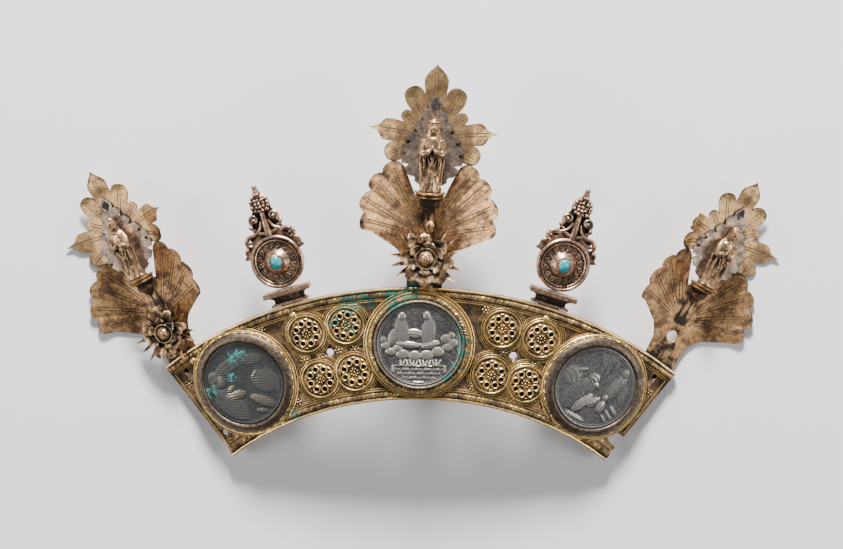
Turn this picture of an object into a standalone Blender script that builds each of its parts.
"""Votive crown: the front bow of a gilt copper crown, lying on its back with the bow up.

The band is part of a cone. Its pieces are laid out flat as if unrolled (an angle round the
middle, a distance from the cone's tip) and turned about the cone's axis into their places.
X runs to the right, Y towards the finial tips and Z up, in metres.
"""
import math

import bmesh
import bpy
import numpy as np
from mathutils import Matrix, Vector

MM = 0.001
GAP = 0.3 * MM

# Band
CONE_HALF_ANGLE = math.radians(60.0)
BAND_LOW = 102.1 * MM
BAND_WIDTH = 38.6 * MM
BAND_THICKNESS = 1.2 * MM
BAND_HALF_SPAN = math.radians(39.8)
BAND_STEPS = 30
EDGE_WIRE_WIDTH = 1.2 * MM
EDGE_WIRE_HEIGHT = 0.9 * MM
ROPE_WIDTH = 2.0 * MM
ROPE_HEIGHT = 0.4 * MM
ROPE_STEP = 0.3 * MM

# Nail holes: two near the upper corners, one near the lower left corner, and one in the middle
# of each panel of rosettes, a little to the left
END_HOLE_ANGLE = 37.4
END_HOLE_DROP = 5.4 * MM
END_HOLE_RADIUS = 0.85 * MM
LOW_HOLE_ANGLE = -38.4
LOW_HOLE_RISE = 8.2 * MM
LOW_HOLE_RADIUS = 1.25 * MM
MIDDLE_HOLE_SHIFT = math.radians(-0.3)
MIDDLE_HOLE_RADIUS = 1.25 * MM

# Broken right end: a bite out of the end edge, above its lower corner
BREAK_RISE = 8.0 * MM
BREAK_LENGTH = 4.4 * MM
BREAK_DEPTH = 3.0 * MM

# Medals and their bezels
MEDAL_END_MARGIN = 3.3 * MM
MEDAL_THICKNESS = 1.4 * MM
MEDAL_RIM = 0.9 * MM
RELIEF_HEIGHT = 1.3 * MM
BEZEL_WIDTH = 3.1 * MM
BEZEL_HEIGHT = 2.4 * MM
BEZEL_LIP = 0.8 * MM
ROUND_STEPS = 24
MEDAL_STEPS = 20
MEDAL_RINGS = 6

# Rosettes: two rows of pairs, each pair shifted a little to the right between its medals, and
# each row just clear of the rivets along the band's edge
ROSETTE_SHIFT = math.radians(0.7)
ROSETTE_GAP = 0.5 * MM
ROSETTE_HEIGHT = 1.5 * MM
ROSETTE_PETALS = 8

# Rivets
RIVET_RADIUS = 1.1 * MM
RIVET_HEIGHT = 0.8 * MM
RIVET_EDGE_DISTANCE = 3.9 * MM
RIVET_ANGLES = {"left_end": -35.4, "left": -18.3, "right": 18.3}

# Large finials: angle of the foot, lean towards the middle, size
FINIAL_PLACES = {"left": (-36.8, 10.1, 0.92), "centre": (0.6, -2.5, 1.0), "right": (36.8, 9.0, 0.915)}
LEAF_THICKNESS = 0.6 * MM
TONGUE_LENGTH = 9.0 * MM
TONGUE_HALF_WIDTH = 6.0 * MM
LOWER_LEAF_RISE = 16.6 * MM
LOWER_LEAF_REACH = 29.2 * MM
LOWER_LEAF_CUP = 6.0 * MM
LOWER_LEAF_SPREAD = 23.0 * MM
UPPER_LEAF_RISE = 51.0 * MM
UPPER_LEAF_REACH = 25.2 * MM
UPPER_LEAF_CUP = 3.0 * MM
UPPER_LEAF_SPREAD = 21.5 * MM
UPPER_RIM_SHARE = 0.85
UPPER_STEM_FOOT = 14.5 * MM
UPPER_STEM_HALF_WIDTH = 2.8 * MM
LEAF_RIDGE = 1.1 * MM
MANDORLA_FOOT = 33.8 * MM
MANDORLA_HEIGHT = 32.0 * MM
MANDORLA_HALF_WIDTH = 11.2 * MM
MANDORLA_THICKNESS = 0.6 * MM
MANDORLA_TEETH = 7
MANDORLA_TOOTH = 0.9 * MM
CONSOLE_TOP = 33.1 * MM
CONSOLE_DROP = 7.6 * MM
CONSOLE_HALF_WIDTH = 5.2 * MM
CONSOLE_DEPTH = 6.4 * MM
FIGURE_HEIGHT = 25.4 * MM
THISTLE_RISE = 10.4 * MM
THISTLE_REACH = 13.2 * MM
THISTLE_ROOT = 8.2 * MM
THISTLE_SPIKE_HALF_ANGLE = 9.0
THISTLE_CURL = 2.2 * MM
THISTLE_THICKNESS = 0.9 * MM
BOSS_RADIUS = 3.9 * MM
BOSS_HEIGHT = 2.2 * MM
PEG_RADIUS = 1.7 * MM
PEG_RECESS = 0.2 * MM
PEG_BITE = 0.3

# Small finials
SMALL_FINIAL_ANGLE = 18.3
SMALL_STEM_HALF_WIDTH = 3.7 * MM
SMALL_STEM_DEPTH = 1.2 * MM
SMALL_FLANGE_HALF_WIDTH = 8.4 * MM
SMALL_FLANGE_RISE = 5.6 * MM
SMALL_DISC_RADIUS = 9.2 * MM
SMALL_DISC_DEPTH = 2.0 * MM
SMALL_DISC_CONE = 1.6 * MM
TURQUOISE_HALF_WIDTH = 1.8 * MM
TURQUOISE_HALF_HEIGHT = 2.4 * MM
TURQUOISE_DEPTH = 1.6 * MM
CREST_REACH = 27.4 * MM
CREST_RIM = 0.9 * MM
CREST_START = 16.0
CREST_THICKNESS = 1.8 * MM

# Places that follow from the sizes above
BAND_TOP = BAND_LOW + BAND_WIDTH
BAND_MIDDLE = BAND_LOW + BAND_WIDTH / 2
LAYER = ROPE_HEIGHT + GAP
ROSETTE_EDGE = RIVET_EDGE_DISTANCE + RIVET_RADIUS + GAP
BEZEL_RADIUS = BAND_WIDTH / 2 - EDGE_WIRE_WIDTH - GAP
MEDAL_RADIUS = BEZEL_RADIUS - BEZEL_WIDTH - GAP
MEDAL_TURN = BAND_HALF_SPAN - math.asin((BEZEL_RADIUS + MEDAL_END_MARGIN) / BAND_MIDDLE)
MEDAL_PLACES = {"left": -MEDAL_TURN, "centre": 0.0, "right": MEDAL_TURN}
PANEL_TURNS = (ROSETTE_SHIFT - MEDAL_TURN / 2, ROSETTE_SHIFT + MEDAL_TURN / 2)
LEAF_FRONT = -BAND_THICKNESS - GAP
UPPER_FRONT = LEAF_FRONT + GAP + LEAF_THICKNESS
MANDORLA_BACK = UPPER_FRONT + GAP
FIGURE_BACK = MANDORLA_BACK + MANDORLA_THICKNESS + GAP
THISTLE_BACK = EDGE_WIRE_HEIGHT + GAP
PEG_HOLE_RADIUS = PEG_RADIUS + GAP
SMALL_DISC_RISE = SMALL_FLANGE_RISE + GAP + SMALL_DISC_RADIUS
AXIS = Vector((0.0, math.cos(CONE_HALF_ANGLE), -math.sin(CONE_HALF_ANGLE)))

# Colours, as base colour, roughness and metallic value
GILT = ((0.62, 0.40, 0.20), 0.42, 1.0)
LEAF_COPPER = ((0.45, 0.28, 0.19), 0.5, 0.9)
DARK_BEZEL = ((0.20, 0.15, 0.12), 0.55, 0.8)
DARK_SILVER = ((0.14, 0.15, 0.16), 0.45, 0.9)
GREY_PLATE = ((0.30, 0.30, 0.30), 0.5, 0.9)
SILVER_GILT = ((0.58, 0.50, 0.38), 0.4, 1.0)
TURQUOISE = ((0.10, 0.45, 0.42), 0.35, 0.0)

# Lobes of the leaves on one side, mirrored onto the other: direction in degrees, reach and
# root as shares of the leaf's reach, half width in degrees, and how much of the lobe is round:
# the rest is a point
LOBE_POINT = 0.4
LOWER_LOBES = (
    (119.5, 1.0, 0.85, 9.0, 1.0),
    (133.2, 0.975, 0.85, 8.5, 1.0),
    (149.0, 0.905, 0.80, 9.5, 1.0),
    (164.6, 0.81, 0.68, 11.5, 1.0),
)

# Below its last lobe the leaf sweeps in to its waist. The turns are degrees from the foot.
LOWER_WAIST = 0.35
LOWER_SWEEP = 0.31
SWEEP_START = 36.0
SWEEP_END = 96.0
SWEEP_TURNS = (52.0, 70.0, 82.0, 90.0)
LOWER_NOTCH = 0.5
NOTCH_HALF_ANGLE = 15.0
UPPER_LOBES = (
    (117.0, 0.75, 0.46, 14.0, 1.0),
    (143.0, 0.53, 0.40, 10.5, 1.0),
    (172.0, 0.865, 0.48, 15.5, 0.6),
    (201.0, 0.683, 0.44, 14.0, 1.0),
)
UPPER_TOP_LOBE = (90.0, 1.0, 0.63, 13.4, 0.72)
UPPER_WAIST = 0.32

# The right finial's left spike is broken: it ends blunt and short
BROKEN_SPIKE = (173.0, 0.68, 0.46, 14.0, 1.0)

# The mandorla's outline from its foot: share of the height, share of the half width
MANDORLA_PROFILE = (
    (0.0, 0.12),
    (0.1, 0.5),
    (0.2, 0.72),
    (0.3, 0.92),
    (0.38, 1.0),
    (0.52, 0.87),
    (0.62, 0.64),
    (0.7, 0.54),
    (0.78, 0.37),
    (0.9, 0.24),
    (1.0, 0.0),
)

# Directions of the thistle's spikes, in degrees
THISTLE_TIPS = (19.0, 38.0, 57.0, 101.0, 120.0, 139.0, 177.0, 196.0, 215.0, 283.0, 325.0, 344.0)

# Low relief on the medals, in shares of the medal's radius: place, half width, half height,
# turn in degrees, rise as a share of RELIEF_HEIGHT
RELIEF = {
    "left": (
        (-0.36, -0.22, 0.36, 0.52, 8.0, 0.9),
        (-0.26, 0.40, 0.15, 0.17, 0.0, 1.0),
        (-0.06, -0.12, 0.28, 0.11, -20.0, 1.0),
        (0.38, -0.36, 0.30, 0.16, 35.0, 0.6),
    ),
    "centre": (
        (-0.22, 0.12, 0.19, 0.30, 6.0, 0.8),
        (0.22, 0.10, 0.18, 0.30, -6.0, 0.8),
        (-0.18, 0.50, 0.12, 0.13, 0.0, 0.9),
        (0.20, 0.47, 0.12, 0.13, 0.0, 0.9),
        (-0.58, -0.10, 0.20, 0.16, 0.0, 0.6),
        (0.58, -0.10, 0.20, 0.16, 0.0, 0.6),
        (0.0, -0.22, 0.34, 0.13, 0.0, 0.6),
        (0.0, -0.62, 0.50, 0.15, 0.0, 0.6),
    ),
    "right": (
        (-0.02, 0.30, 0.09, 0.42, 12.0, 0.7),
        (-0.06, 0.62, 0.30, 0.15, 0.0, 0.6),
        (0.42, 0.12, 0.15, 0.38, -6.0, 0.9),
        (0.44, 0.56, 0.09, 0.15, 0.0, 0.9),
        (-0.06, -0.42, 0.20, 0.32, 0.0, 0.9),
        (0.24, -0.54, 0.11, 0.19, 0.0, 0.8),
        (-0.56, 0.02, 0.22, 0.32, 0.0, 0.5),
    ),
}

# The figure's robe and head: share of the height, half width and half depth as shares of it
FIGURE_LEVELS = (
    (0.00, 0.180, 0.105),
    (0.10, 0.162, 0.108),
    (0.28, 0.150, 0.100),
    (0.44, 0.155, 0.105),
    (0.56, 0.176, 0.110),
    (0.67, 0.165, 0.095),
    (0.735, 0.112, 0.070),
    (0.770, 0.062, 0.058),
    (0.82, 0.088, 0.085),
    (0.89, 0.098, 0.092),
    (0.955, 0.080, 0.075),
    (1.00, 0.030, 0.030),
)
FIGURE_FOLDS = 5
FIGURE_FOLD_DEPTH = 0.09
FIGURE_STEPS = 12

# The console from its top down: share of the drop, share of the half width
CONSOLE_LEVELS = ((0.0, 1.0), (0.16, 1.0), (0.24, 0.82), (0.5, 0.86), (0.62, 0.6), (1.0, 0.28))
CONSOLE_STEPS = 7

# The cresting's lobes round the disc, on one side, and the one on top, as for the leaves
CREST_LOBES = (
    (24.0, 0.412, 0.38, 8.0, 1.0),
    (45.0, 0.482, 0.387, 9.0, 1.0),
    (65.0, 0.569, 0.438, 7.0, 1.0),
    (79.0, 0.785, 0.547, 8.0, 1.0),
)
CREST_TOP_LOBE = (90.0, 1.0, 0.62, 6.0, 1.0)
CREST_WAIST = 0.38

# Where the resting pitch is looked for
STEEPEST_REST = math.radians(35.0)


def turn(angle):
    """The rotation about the cone's axis that carries the middle line to this unrolled angle."""
    return Matrix.Rotation(angle / math.sin(CONE_HALF_ANGLE), 4, AXIS)


def place_on_cone(degrees, slant):
    """The frame at a point of the band: X along it, Y up its side, Z out of its face."""
    return turn(math.radians(degrees)) @ Matrix.Translation((0.0, slant, 0.0))


def wrap(bm, slant):
    """Bends a flat ornament, drawn round its middle point, onto the cone at this distance."""
    for vertex in bm.verts:
        x, y, z = vertex.co
        reach = math.hypot(x, slant + y)
        bent = turn(math.atan2(x, slant + y)) @ Vector((0.0, reach, z))
        vertex.co = bent - Vector((0.0, slant, 0.0))


def make_material(name, look):
    colour, roughness, metallic = look
    material = bpy.data.materials.new(name)
    material.use_nodes = True
    shader = material.node_tree.nodes["Principled BSDF"]
    shader.inputs["Base Color"].default_value = (*colour, 1.0)
    shader.inputs["Roughness"].default_value = roughness
    shader.inputs["Metallic"].default_value = metallic
    material.diffuse_color = (*colour, 1.0)
    return material


def make_object(name, bm, look, matrix):
    """Closes the mesh's orientation and hangs the object on the crown."""
    bmesh.ops.recalc_face_normals(bm, faces=bm.faces)
    bmesh.ops.triangulate(bm, faces=[face for face in bm.faces if len(face.verts) > 3])
    mesh = bpy.data.meshes.new(name)
    bm.to_mesh(mesh)
    bm.free()
    mesh.materials.append(make_material(name, look))
    mesh.shade_smooth()
    mesh.set_sharp_from_angle(angle=math.radians(35.0))
    obj = bpy.data.objects.new(name, mesh)
    bpy.context.scene.collection.objects.link(obj)
    obj.parent = crown
    obj.matrix_local = matrix
    return obj


def cutter_for(target, name, bm, matrix, operation="DIFFERENCE"):
    """Hides a shape and applies it to the target with a Boolean modifier."""
    bmesh.ops.recalc_face_normals(bm, faces=bm.faces)
    mesh = bpy.data.meshes.new(name)
    bm.to_mesh(mesh)
    bm.free()
    tool = bpy.data.objects.new(name, mesh)
    bpy.context.scene.collection.objects.link(tool)
    tool.parent = crown
    tool.matrix_local = matrix
    tool.hide_render = True
    tool.display_type = "WIRE"
    boolean = target.modifiers.new(name, "BOOLEAN")
    boolean.operation = operation
    boolean.object = tool
    boolean.solver = "EXACT"


def ring_faces(bm, lower, upper, closed):
    count = len(lower)
    last = count if closed else count - 1
    for index in range(last):
        after = (index + 1) % count
        bm.faces.new((lower[index], lower[after], upper[after], upper[index]))


def loft(bm, rings):
    """Joins closed rings of points in order and caps both ends."""
    made = [[bm.verts.new(point) for point in ring] for ring in rings]
    for lower, upper in zip(made, made[1:]):
        ring_faces(bm, lower, upper, True)
    bm.faces.new(made[0])
    bm.faces.new(made[-1])


def lathe(profile, steps, squash=1.0):
    """Spins rings (radius, height) about Z. A radius of nothing closes an end in a point."""
    bm = bmesh.new()
    made = []
    for radius, height in profile:
        if radius == 0.0:
            made.append([bm.verts.new((0.0, 0.0, height))])
            continue
        angles = [math.tau * step / steps for step in range(steps)]
        ring = [(radius * math.cos(a), radius * squash * math.sin(a), height) for a in angles]
        made.append([bm.verts.new(point) for point in ring])
    for lower, upper in zip(made, made[1:]):
        if len(upper) == 1:
            for index in range(steps):
                bm.faces.new((lower[index], lower[(index + 1) % steps], upper[0]))
        else:
            ring_faces(bm, lower, upper, True)
    return bm, made


def solid_lathe(profile, steps, squash=1.0):
    bm, made = lathe(profile, steps, squash)
    for end in (made[0], made[-1]):
        if len(end) > 2:
            bm.faces.new(end)
    return bm


def ring_lathe(profile, steps):
    """Spins a closed cross-section into a ring."""
    bm, made = lathe(profile, steps)
    ring_faces(bm, made[-1], made[0], True)
    return bm


def mirrored(lobes):
    """The lobes of one side and their mirror images."""
    return list(lobes) + [(180.0 - lobe[0], *lobe[1:]) for lobe in lobes]


def lobed_reach(degrees, lobes, waist):
    """How far a leaf reaches in a direction: the longest lobe there, or its waist."""
    reach = waist
    for middle, tip, root, half_width, roundness in lobes:
        away = abs((degrees - middle + 180.0) % 360.0 - 180.0) / half_width
        if away <= 1.0:
            rounded = roundness * math.sqrt(1.0 - away ** 3)
            pointed = (1.0 - roundness) * max(0.0, 1.0 - away / LOBE_POINT)
            reach = max(reach, root + (tip - root) * (rounded + pointed))
    return reach


def lobe_ridge(degrees, lobes):
    """One along a lobe's middle line and falling to nothing at its sides."""
    ridge = 0.0
    for middle, _tip, _root, half_width, _roundness in lobes:
        away = abs((degrees - middle + 180.0) % 360.0 - 180.0) / half_width
        ridge = max(ridge, 1.0 - away)
    return ridge


def lobe_directions(lobes, extra):
    """The directions that draw every lobe: its ends, shoulders and tip."""
    directions = list(extra)
    for middle, _tip, _root, half_width, roundness in lobes:
        shares = [-LOBE_POINT, 0.0, LOBE_POINT]
        if roundness == 1.0:
            shares = [-0.98, -0.6, 0.0, 0.6, 0.98]
        elif roundness > 0.0:
            shares += [-0.95, 0.95]
        directions += [(middle + half_width * share) % 360.0 for share in shares]
    directions.sort()
    kept = [directions[0]]
    for direction in directions[1:]:
        if direction - kept[-1] > 1.6:
            kept.append(direction)
    return kept


def polar_sheet(bm, directions, shares, reach, form, first=None):
    """A sheet of rings round a middle point. form(x, y, share, direction) is its height.

    The first ring may have its own distances.
    """
    middle = bm.verts.new((0.0, 0.0, form(0.0, 0.0, 0.0, 0.0)))
    rings = []
    for share in shares:
        ring = []
        for direction in directions:
            distance = share * reach(direction)
            if first and share == shares[0]:
                distance = first(direction)
            x = distance * math.cos(math.radians(direction))
            y = distance * math.sin(math.radians(direction))
            ring.append(bm.verts.new((x, y, form(x, y, share, direction))))
        rings.append(ring)
    for index in range(len(directions)):
        after = (index + 1) % len(directions)
        bm.faces.new((middle, rings[0][index], rings[0][after]))
    for lower, upper in zip(rings, rings[1:]):
        ring_faces(bm, lower, upper, True)


def thicken(bm, thickness):
    """Pulls a copy of the sheet straight back and closes the edge between them."""
    made = bmesh.ops.extrude_face_region(bm, geom=list(bm.faces))
    moved = [item for item in made["geom"] if isinstance(item, bmesh.types.BMVert)]
    bmesh.ops.translate(bm, verts=moved, vec=(0.0, 0.0, -thickness))


def cup(x, start, spread, depth):
    """How far a leaf's side comes forward at this distance from its middle line."""
    share = max(0.0, abs(x) - start) / (spread - start)
    return depth * share ** 1.5


def cylinder(radius, low, high, steps=10):
    return solid_lathe(((radius, low), (radius, high)), steps)


def build_band():
    """The cross-section, from the lower edge to the upper one, spun about the cone's axis."""
    half = [
        (0.0, 0.65 * EDGE_WIRE_HEIGHT),
        (0.3 * EDGE_WIRE_WIDTH, EDGE_WIRE_HEIGHT),
        (0.8 * EDGE_WIRE_WIDTH, EDGE_WIRE_HEIGHT),
        (EDGE_WIRE_WIDTH, ROPE_HEIGHT),
        (EDGE_WIRE_WIDTH + ROPE_WIDTH, ROPE_HEIGHT),
        (EDGE_WIRE_WIDTH + ROPE_WIDTH + ROPE_STEP, 0.0),
    ]
    face = half + [(BAND_WIDTH - across, height) for across, height in reversed(half)]
    outline = [(0.0, -BAND_THICKNESS), *face, (BAND_WIDTH, -BAND_THICKNESS)]
    bm = bmesh.new()
    start = turn(-BAND_HALF_SPAN)
    points = [start @ Vector((0.0, BAND_LOW + across, height)) for across, height in outline]
    verts = [bm.verts.new(point) for point in points]
    section = bm.faces.new(verts)
    whole = 2.0 * BAND_HALF_SPAN / math.sin(CONE_HALF_ANGLE)
    bmesh.ops.spin(
        bm,
        geom=[section, *section.edges, *section.verts],
        cent=(0.0, 0.0, 0.0),
        axis=AXIS,
        angle=whole,
        steps=BAND_STEPS,
        use_merge=False,
    )
    band = make_object("band", bm, GILT, Matrix.Identity(4))
    end_hole_rise = BAND_WIDTH - END_HOLE_DROP
    holes = [
        (-END_HOLE_ANGLE, end_hole_rise, END_HOLE_RADIUS),
        (END_HOLE_ANGLE, end_hole_rise, END_HOLE_RADIUS),
        (LOW_HOLE_ANGLE, LOW_HOLE_RISE, LOW_HOLE_RADIUS),
    ]
    for panel in PANEL_TURNS:
        middle = math.degrees(panel + MIDDLE_HOLE_SHIFT)
        holes.append((middle, BAND_WIDTH / 2, MIDDLE_HOLE_RADIUS))
    for number, (angle, rise, radius) in enumerate(holes):
        shape = cylinder(radius, -3.0 * BAND_THICKNESS, 3.0 * BAND_THICKNESS)
        cutter_for(band, f"nail_hole_{number}", shape, place_on_cone(angle, BAND_LOW + rise))
    bite = bmesh.new()
    bmesh.ops.create_cube(bite, size=1.0)
    stretch = (2.0 * BREAK_DEPTH, BREAK_LENGTH, 8.0 * BAND_THICKNESS)
    bmesh.ops.scale(bite, vec=stretch, verts=bite.verts)
    end = math.degrees(BAND_HALF_SPAN)
    cutter_for(band, "end_break", bite, place_on_cone(end, BAND_LOW + BREAK_RISE))


def relief_height(x, y, side):
    """Domed shapes side by side, the highest one showing."""
    height = 0.0
    for middle_x, middle_y, half_width, half_height, degrees, rise in RELIEF[side]:
        angle = math.radians(degrees)
        dx = x - middle_x
        dy = y - middle_y
        along = (dx * math.cos(angle) + dy * math.sin(angle)) / half_width
        across = (dy * math.cos(angle) - dx * math.sin(angle)) / half_height
        inside = 1.0 - along * along - across * across
        if inside > 0.0:
            height = max(height, rise * math.sqrt(inside))
    return height * RELIEF_HEIGHT


def build_medal(side):
    bm = bmesh.new()
    rim_share = 1.0 - MEDAL_RIM / MEDAL_RADIUS
    shares = [rim_share * (ring + 1) / MEDAL_RINGS for ring in range(MEDAL_RINGS)] + [1.0]
    directions = [360.0 * step / MEDAL_STEPS for step in range(MEDAL_STEPS)]
    top = LAYER + MEDAL_THICKNESS

    def form(x, y, share, _direction):
        if share > 0.99 * rim_share:
            return top + 0.35 * RELIEF_HEIGHT
        return top + relief_height(x / MEDAL_RADIUS, y / MEDAL_RADIUS, side)

    polar_sheet(bm, directions, shares, lambda _direction: MEDAL_RADIUS, form)
    edge = [edge for edge in bm.edges if edge.is_boundary]
    made = bmesh.ops.extrude_edge_only(bm, edges=edge)
    low = [item for item in made["geom"] if isinstance(item, bmesh.types.BMVert)]
    for vertex in low:
        vertex.co.z = LAYER
    bmesh.ops.contextual_create(bm, geom=[edge for edge in bm.edges if edge.is_boundary])
    wrap(bm, BAND_MIDDLE)
    place = place_on_cone(math.degrees(MEDAL_PLACES[side]), BAND_MIDDLE)
    make_object(f"medallion_{side}", bm, DARK_SILVER, place)


def build_bezel(side):
    inner = MEDAL_RADIUS + GAP
    outer = BEZEL_RADIUS
    profile = (
        (inner, LAYER),
        (inner, LAYER + BEZEL_HEIGHT),
        (inner + BEZEL_LIP, LAYER + BEZEL_HEIGHT),
        (outer, LAYER + 0.35 * BEZEL_HEIGHT),
        (outer, LAYER),
    )
    bm = ring_lathe(profile, ROUND_STEPS)
    wrap(bm, BAND_MIDDLE)
    look = GILT if side == "centre" else DARK_BEZEL
    place = place_on_cone(math.degrees(MEDAL_PLACES[side]), BAND_MIDDLE)
    make_object(f"bezel_{side}", bm, look, place)


def rosette_row(radius):
    """The lower row's distance from the cone's tip."""
    return BAND_LOW + ROSETTE_EDGE + radius


def rosette_turns(radius):
    """In the lower row, the turn from a pair's middle to a rosette, and from there to a medal."""
    row = rosette_row(radius)
    reach = BEZEL_RADIUS + ROSETTE_GAP + radius
    half_pair = math.asin((radius + ROSETTE_GAP / 2.0) / row)
    cosine = (row ** 2 + BAND_MIDDLE ** 2 - reach ** 2) / (2.0 * row * BAND_MIDDLE)
    return half_pair, math.acos(cosine)


def largest_rosette():
    """The radius at which a pair just clears the nearer medal, and the rows clear each other."""
    low = 0.0
    high = (BAND_WIDTH / 2 - ROSETTE_EDGE - ROSETTE_GAP / 2.0) / 2.0
    for _step in range(40):
        radius = 0.5 * (low + high)
        if sum(rosette_turns(radius)) < MEDAL_TURN / 2 - ROSETTE_SHIFT:
            low = radius
        else:
            high = radius
    return low


def build_rosette(number, angle, slant, radius):
    """A wire ring, a trough, eight petals and a knob in the middle."""
    bm = bmesh.new()
    steps = 2 * ROSETTE_PETALS
    directions = [360.0 * step / steps for step in range(steps)]
    heights = {0.3: 0.55, 0.72: 0.75, 0.86: 0.35, 1.0: 0.7}

    def form(_x, _y, share, direction):
        if share == 0.0:
            return GAP + ROSETTE_HEIGHT
        height = heights[share]
        if share == 0.72 and round(direction * steps / 360.0) % 2:
            height = 0.3
        return GAP + height * ROSETTE_HEIGHT

    polar_sheet(bm, directions, tuple(heights), lambda _direction: radius, form)
    edge = [edge for edge in bm.edges if edge.is_boundary]
    made = bmesh.ops.extrude_edge_only(bm, edges=edge)
    for item in made["geom"]:
        if isinstance(item, bmesh.types.BMVert):
            item.co.z = GAP
    bmesh.ops.contextual_create(bm, geom=[edge for edge in bm.edges if edge.is_boundary])
    wrap(bm, slant)
    make_object(f"rosette_{number}", bm, GILT, place_on_cone(math.degrees(angle), slant))


def build_rosettes():
    radius = largest_rosette()
    row = rosette_row(radius)
    half_pair = rosette_turns(radius)[0]
    angles = [panel + turned for panel in PANEL_TURNS for turned in (-half_pair, half_pair)]
    places = [(angle, slant) for slant in (2.0 * BAND_MIDDLE - row, row) for angle in angles]
    for number, (angle, slant) in enumerate(places):
        build_rosette(number + 1, angle, slant, radius)


def build_rivet(name, angle):
    profile = (
        (RIVET_RADIUS, LAYER),
        (0.75 * RIVET_RADIUS, LAYER + 0.7 * RIVET_HEIGHT),
        (0.0, LAYER + RIVET_HEIGHT),
    )
    place = place_on_cone(angle, BAND_TOP - RIVET_EDGE_DISTANCE)
    make_object(f"rivet_{name}", solid_lathe(profile, 8), GILT, place)


def finial_frame(side, rise):
    """A frame on a finial's middle line, this far above the band's top edge."""
    angle, lean, _size = FINIAL_PLACES[side]
    towards_middle = math.radians(lean if angle > 0.0 else -lean)
    return (
        place_on_cone(angle, BAND_TOP)
        @ Matrix.Rotation(towards_middle, 4, "Z")
        @ Matrix.Translation((0.0, rise, 0.0))
    )


def build_lower_leaf(side):
    size = FINIAL_PLACES[side][2]
    lobes = mirrored(LOWER_LOBES)
    rise = LOWER_LEAF_RISE * size
    foot = rise + TONGUE_LENGTH
    half_turn = math.degrees(math.atan2(TONGUE_HALF_WIDTH, foot))
    leaf_reach = LOWER_LEAF_REACH * size
    waist_turn = math.degrees(math.asin(TONGUE_HALF_WIDTH / (LOWER_WAIST * leaf_reach)))

    def reach(direction):
        below = abs(direction - 270.0)
        if below <= half_turn + 0.01:
            return foot / math.cos(math.radians(below))
        if below < waist_turn:
            return TONGUE_HALF_WIDTH / math.sin(math.radians(below))
        swept = min(1.0, max(0.0, below - SWEEP_START) / (SWEEP_END - SWEEP_START))
        waist = LOWER_WAIST
        if below < SWEEP_END:
            waist += LOWER_SWEEP * swept ** 4
        if abs(direction - 90.0) <= NOTCH_HALF_ANGLE:
            waist = LOWER_NOTCH
        return lobed_reach(direction, lobes, waist) * leaf_reach

    def form(x, _y, share, direction):
        side_cup = cup(x, TONGUE_HALF_WIDTH, LOWER_LEAF_SPREAD * size, LOWER_LEAF_CUP)
        ridge = 0.0 if side_cup == 0.0 else LEAF_RIDGE * share ** 2 * lobe_ridge(direction, lobes)
        return LEAF_FRONT + side_cup + ridge

    extra = [90.0, 90.0 - NOTCH_HALF_ANGLE, 90.0 + NOTCH_HALF_ANGLE]
    for below in (half_turn, waist_turn, *SWEEP_TURNS):
        extra += [270.0 - below, 270.0 + below]
    directions = lobe_directions(lobes, extra)
    bm = bmesh.new()
    polar_sheet(bm, directions, (0.27, 0.68, 1.0), reach, form)
    thicken(bm, LEAF_THICKNESS)
    leaf = make_object(f"lower_leaf_{side}", bm, LEAF_COPPER, finial_frame(side, rise))
    hole = cylinder(PEG_HOLE_RADIUS, 3.0 * LEAF_FRONT, -3.0 * LEAF_FRONT)
    cutter_for(leaf, f"peg_hole_{side}", hole, finial_frame(side, THISTLE_RISE * size))


def build_upper_leaf(side):
    size = FINIAL_PLACES[side][2]
    lobes = mirrored(UPPER_LOBES) + [UPPER_TOP_LOBE]
    if side == "right":
        lobes[2] = BROKEN_SPIKE
    rise = UPPER_LEAF_RISE * size
    stem = rise - UPPER_STEM_FOOT
    half_turn = math.degrees(math.atan2(UPPER_STEM_HALF_WIDTH, stem))
    leaf_reach = UPPER_LEAF_REACH * size
    waist_turn = math.degrees(math.asin(UPPER_STEM_HALF_WIDTH / (UPPER_WAIST * leaf_reach)))

    def reach(direction):
        below = abs(direction - 270.0)
        if below <= half_turn + 0.01:
            return stem / math.cos(math.radians(below))
        if below < waist_turn:
            return UPPER_STEM_HALF_WIDTH / math.sin(math.radians(below))
        return lobed_reach(direction, lobes, UPPER_WAIST) * leaf_reach

    # The leaf lies flat behind the mandorla, and its lobes turn up outside it
    flat = (MANDORLA_HALF_WIDTH + MANDORLA_TOOTH) * size

    def flat_end(direction):
        across = max(abs(math.cos(math.radians(direction))), 0.1)
        return min(UPPER_RIM_SHARE * reach(direction), flat / across)

    def form(x, _y, _share, direction):
        side_cup = cup(x, flat, UPPER_LEAF_SPREAD * size, UPPER_LEAF_CUP)
        ridge = min(LEAF_RIDGE, side_cup) * lobe_ridge(direction, lobes)
        return UPPER_FRONT + side_cup + ridge

    extra = [270.0 + turned for turned in (-waist_turn, waist_turn, -half_turn, half_turn)]
    bm = bmesh.new()
    polar_sheet(bm, lobe_directions(lobes, extra), (0.5, 1.0), reach, form, flat_end)
    thicken(bm, LEAF_THICKNESS)
    make_object(f"upper_leaf_{side}", bm, LEAF_COPPER, finial_frame(side, rise))


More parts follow.
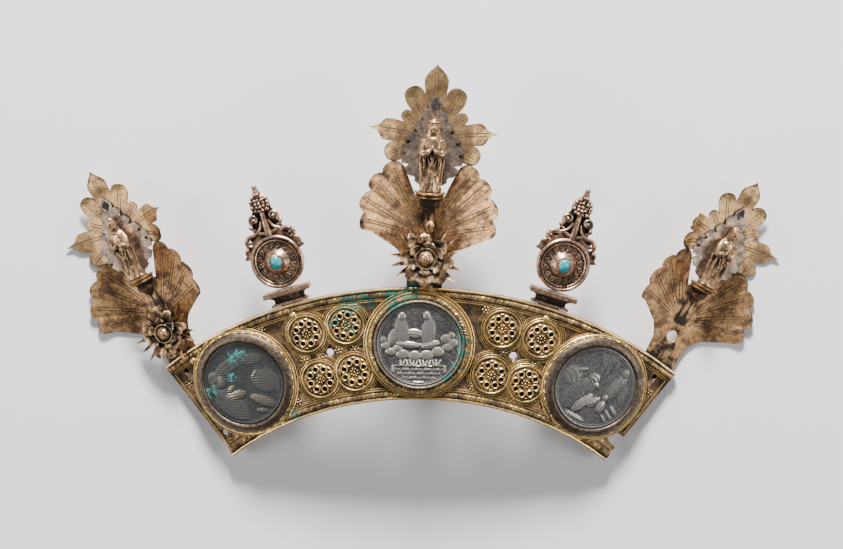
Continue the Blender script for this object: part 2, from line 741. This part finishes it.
def build_mandorla(side):
    """A pointed plate with a toothed edge, widest below its middle."""
    size = FINIAL_PLACES[side][2]
    height = MANDORLA_HEIGHT * size
    levels, widths = np.array(MANDORLA_PROFILE).T
    outline = []
    steps = 2 * MANDORLA_TEETH
    for step in range(1, steps):
        share = step / steps
        tooth = MANDORLA_TOOTH if step % 2 else 0.0
        width = MANDORLA_HALF_WIDTH * size * np.interp(share, levels, widths) - tooth
        outline.append((max(width, MANDORLA_TOOTH), height * share))
    right = [(0.0, 0.0), *outline, (0.0, height)]
    left = [(-x, y) for x, y in reversed(outline)]
    bm = bmesh.new()
    verts = [bm.verts.new((x, y, MANDORLA_BACK + MANDORLA_THICKNESS)) for x, y in right + left]
    bm.faces.new(verts)
    thicken(bm, MANDORLA_THICKNESS)
    make_object(f"mandorla_{side}", bm, GREY_PLATE, finial_frame(side, MANDORLA_FOOT * size))


def build_figure(side):
    """A robed figure: rings from the hem to the crown of the head."""
    size = FINIAL_PLACES[side][2]
    height = FIGURE_HEIGHT * size
    deepest = max(level[2] for level in FIGURE_LEVELS) * (1.0 + FIGURE_FOLD_DEPTH)
    middle = FIGURE_BACK + deepest * height
    rings = []
    for share, half_width, half_depth in FIGURE_LEVELS:
        folds = FIGURE_FOLD_DEPTH if share < 0.5 else 0.0
        ring = []
        for step in range(FIGURE_STEPS):
            angle = math.tau * step / FIGURE_STEPS
            fold = 1.0 + folds * math.cos(FIGURE_FOLDS * angle)
            x = half_width * height * fold * math.cos(angle)
            z = middle + half_depth * height * fold * math.sin(angle)
            ring.append((x, height * share, z))
        rings.append(ring)
    bm = bmesh.new()
    loft(bm, rings)
    make_object(f"figure_{side}", bm, LEAF_COPPER, finial_frame(side, CONSOLE_TOP * size + GAP))


def build_console(side):
    size = FINIAL_PLACES[side][2]
    rings = []
    for drop, share in CONSOLE_LEVELS:
        ring = []
        for step in range(CONSOLE_STEPS + 1):
            angle = math.pi * step / CONSOLE_STEPS
            x = CONSOLE_HALF_WIDTH * size * share * math.cos(angle)
            z = MANDORLA_BACK + CONSOLE_DEPTH * share * math.sin(angle)
            ring.append((x, -drop * CONSOLE_DROP * size, z))
        rings.append(ring)
    bm = bmesh.new()
    loft(bm, rings)
    make_object(f"console_{side}", bm, GILT, finial_frame(side, CONSOLE_TOP * size))


def build_thistle(side):
    """Pointed leaves round a boss, on a peg through the leaf behind."""
    size = FINIAL_PLACES[side][2]
    half = THISTLE_SPIKE_HALF_ANGLE / LOBE_POINT
    root = THISTLE_ROOT / THISTLE_REACH
    lobes = [(tip, 1.0, root, half, 0.0) for tip in THISTLE_TIPS]

    def reach(direction):
        return lobed_reach(direction, lobes, root) * THISTLE_REACH * size

    def form(x, y, share, _direction):
        distance = math.hypot(x, y)
        front = THISTLE_BACK + THISTLE_THICKNESS
        if distance < BOSS_RADIUS * size:
            return front + BOSS_HEIGHT * (1.0 - 0.4 * distance / (BOSS_RADIUS * size))
        return front + THISTLE_CURL * (share ** 2)

    bm = bmesh.new()
    shares = (0.28, 0.62, 1.0)
    polar_sheet(bm, lobe_directions(lobes, ()), shares, reach, form)
    thicken(bm, THISTLE_THICKNESS)
    frame = finial_frame(side, THISTLE_RISE * size)
    thistle = make_object(f"thistle_{side}", bm, GILT, frame)
    peg_low = LEAF_FRONT - LEAF_THICKNESS + PEG_RECESS
    peg_high = THISTLE_BACK + BOSS_HEIGHT + PEG_BITE * THISTLE_THICKNESS
    peg = cylinder(PEG_RADIUS, peg_low, peg_high, 8)
    cutter_for(thistle, f"thistle_peg_{side}", peg, frame, "UNION")


def build_small_base(side, frame):
    """A stem behind the band's edge, widening into a flange under the disc."""
    levels = (
        (-1.0, SMALL_STEM_HALF_WIDTH, SMALL_STEM_DEPTH),
        (0.45, SMALL_STEM_HALF_WIDTH, SMALL_STEM_DEPTH),
        (0.5, 0.8 * SMALL_FLANGE_HALF_WIDTH, SMALL_STEM_DEPTH),
        (0.68, 0.8 * SMALL_FLANGE_HALF_WIDTH, SMALL_STEM_DEPTH),
        (0.74, SMALL_FLANGE_HALF_WIDTH, SMALL_STEM_DEPTH),
        (1.0, SMALL_FLANGE_HALF_WIDTH, SMALL_STEM_DEPTH),
    )
    rings = []
    for share, half_width, depth in levels:
        y = share * SMALL_FLANGE_RISE
        back = LEAF_FRONT - depth
        front_side = [(x, y, LEAF_FRONT) for x in (-half_width, half_width)]
        back_side = [(x, y, back) for x in (half_width, -half_width)]
        rings.append(front_side + back_side)
    bm = bmesh.new()
    loft(bm, rings)
    make_object(f"small_base_{side}", bm, SILVER_GILT, frame)


def build_small_disc(side, frame):
    radius = SMALL_DISC_RADIUS
    back = LEAF_FRONT - SMALL_STEM_DEPTH
    face = back + SMALL_DISC_DEPTH
    profile = (
        (radius, back),
        (radius, face),
        (0.86 * radius, face + 0.4 * MM),
        (0.76 * radius, face - 0.4 * MM),
        (0.48 * radius, face - 0.4 * MM),
        (TURQUOISE_HALF_HEIGHT + GAP, face + SMALL_DISC_CONE),
    )
    bm = solid_lathe(profile, 22)
    make_object(f"small_disc_{side}", bm, SILVER_GILT, frame)
    top = face + SMALL_DISC_CONE + GAP
    stone = (
        (TURQUOISE_HALF_WIDTH, top),
        (0.8 * TURQUOISE_HALF_WIDTH, top + 0.7 * TURQUOISE_DEPTH),
        (0.0, top + TURQUOISE_DEPTH),
    )
    oval = TURQUOISE_HALF_HEIGHT / TURQUOISE_HALF_WIDTH
    make_object(f"turquoise_{side}", solid_lathe(stone, 10, oval), TURQUOISE, frame)


def build_crest(side, frame):
    """A scrolled cresting round the disc's upper half, rising to a ball."""
    lobes = [*mirrored(CREST_LOBES), CREST_TOP_LOBE]
    inner = SMALL_DISC_RADIUS + GAP
    ends = (CREST_START, 180.0 - CREST_START)
    directions = [d for d in lobe_directions(lobes, ends) if ends[0] <= d <= ends[1]]
    bm = bmesh.new()
    lines = []
    for direction in directions:
        outer = max(lobed_reach(direction, lobes, CREST_WAIST) * CREST_REACH, inner + CREST_RIM)
        angle = math.radians(direction)
        steps = (inner, 0.5 * (inner + outer), outer)
        line = [bm.verts.new((r * math.cos(angle), r * math.sin(angle), LEAF_FRONT)) for r in steps]
        line[1].co.z += 0.5 * CREST_THICKNESS
        lines.append(line)
    for first, second in zip(lines, lines[1:]):
        for low in range(2):
            bm.faces.new((first[low], first[low + 1], second[low + 1], second[low]))
    thicken(bm, CREST_THICKNESS)
    make_object(f"crest_{side}", bm, SILVER_GILT, frame)


def build_small_finial(side):
    angle = math.copysign(SMALL_FINIAL_ANGLE, 1.0 if side == "right" else -1.0)
    foot = place_on_cone(angle, BAND_TOP)
    disc = foot @ Matrix.Translation((0.0, SMALL_DISC_RISE, 0.0))
    build_small_base(side, foot)
    build_small_disc(side, disc)
    build_crest(side, disc)


def mesh_points_and_mass():
    """All corners of the pieces in the crown's frame, and the centre of their volumes."""
    corners = []
    volume = 0.0
    moment = np.zeros(3)
    for obj in crown.children:
        if obj.hide_render:
            continue
        points = np.array([obj.matrix_local @ vertex.co for vertex in obj.data.vertices])
        corners.append(points)
        obj.data.calc_loop_triangles()
        faces = np.array([triangle.vertices[:] for triangle in obj.data.loop_triangles])
        a, b, c = points[faces[:, 0]], points[faces[:, 1]], points[faces[:, 2]]
        slices = np.einsum("ij,ij->i", a, np.cross(b, c)) / 6.0
        volume += slices.sum()
        moment += ((a + b + c) * slices[:, None] / 4.0).sum(axis=0)
    return np.vstack(corners), moment / volume


def rest_pitch(corners, centre):
    """The pitch at which the crown lies still: its centre of mass is as low as it can be."""
    below = centre - corners

    def height(pitch):
        return (below[:, 1] * math.sin(pitch) + below[:, 2] * math.cos(pitch)).max()

    low = 0.0
    high = STEEPEST_REST
    for _step in range(60):
        first = low + (high - low) / 3.0
        second = high - (high - low) / 3.0
        if height(first) < height(second):
            high = second
        else:
            low = first
    return 0.5 * (low + high)


def lay_down():
    """Turns the crown to its resting pitch, over the origin, with its lowest point at nothing."""
    bpy.context.view_layer.update()
    corners, centre = mesh_points_and_mass()
    pitch = rest_pitch(corners, centre)
    turned = corners @ np.array(Matrix.Rotation(pitch, 3, "X")).T
    low = turned.min(axis=0)
    high = turned.max(axis=0)
    middle = 0.5 * (low + high)
    crown.rotation_euler = (pitch, 0.0, 0.0)
    crown.location = (-middle[0], -middle[1], -low[2])


for old in list(bpy.data.objects):
    bpy.data.objects.remove(old)

crown = bpy.data.objects.new("crown", None)
bpy.context.scene.collection.objects.link(crown)

build_band()
for medal_side in MEDAL_PLACES:
    build_bezel(medal_side)
    build_medal(medal_side)
build_rosettes()
for rivet_name, rivet_angle in RIVET_ANGLES.items():
    build_rivet(rivet_name, rivet_angle)
for finial_side in FINIAL_PLACES:
    build_lower_leaf(finial_side)
    build_upper_leaf(finial_side)
    build_mandorla(finial_side)
    build_console(finial_side)
    build_figure(finial_side)
# The right finial's thistle is lost, and the hole for its peg is bare
for thistle_side in ("left", "centre"):
    build_thistle(thistle_side)
for small_side in ("left", "right"):
    build_small_finial(small_side)
lay_down()
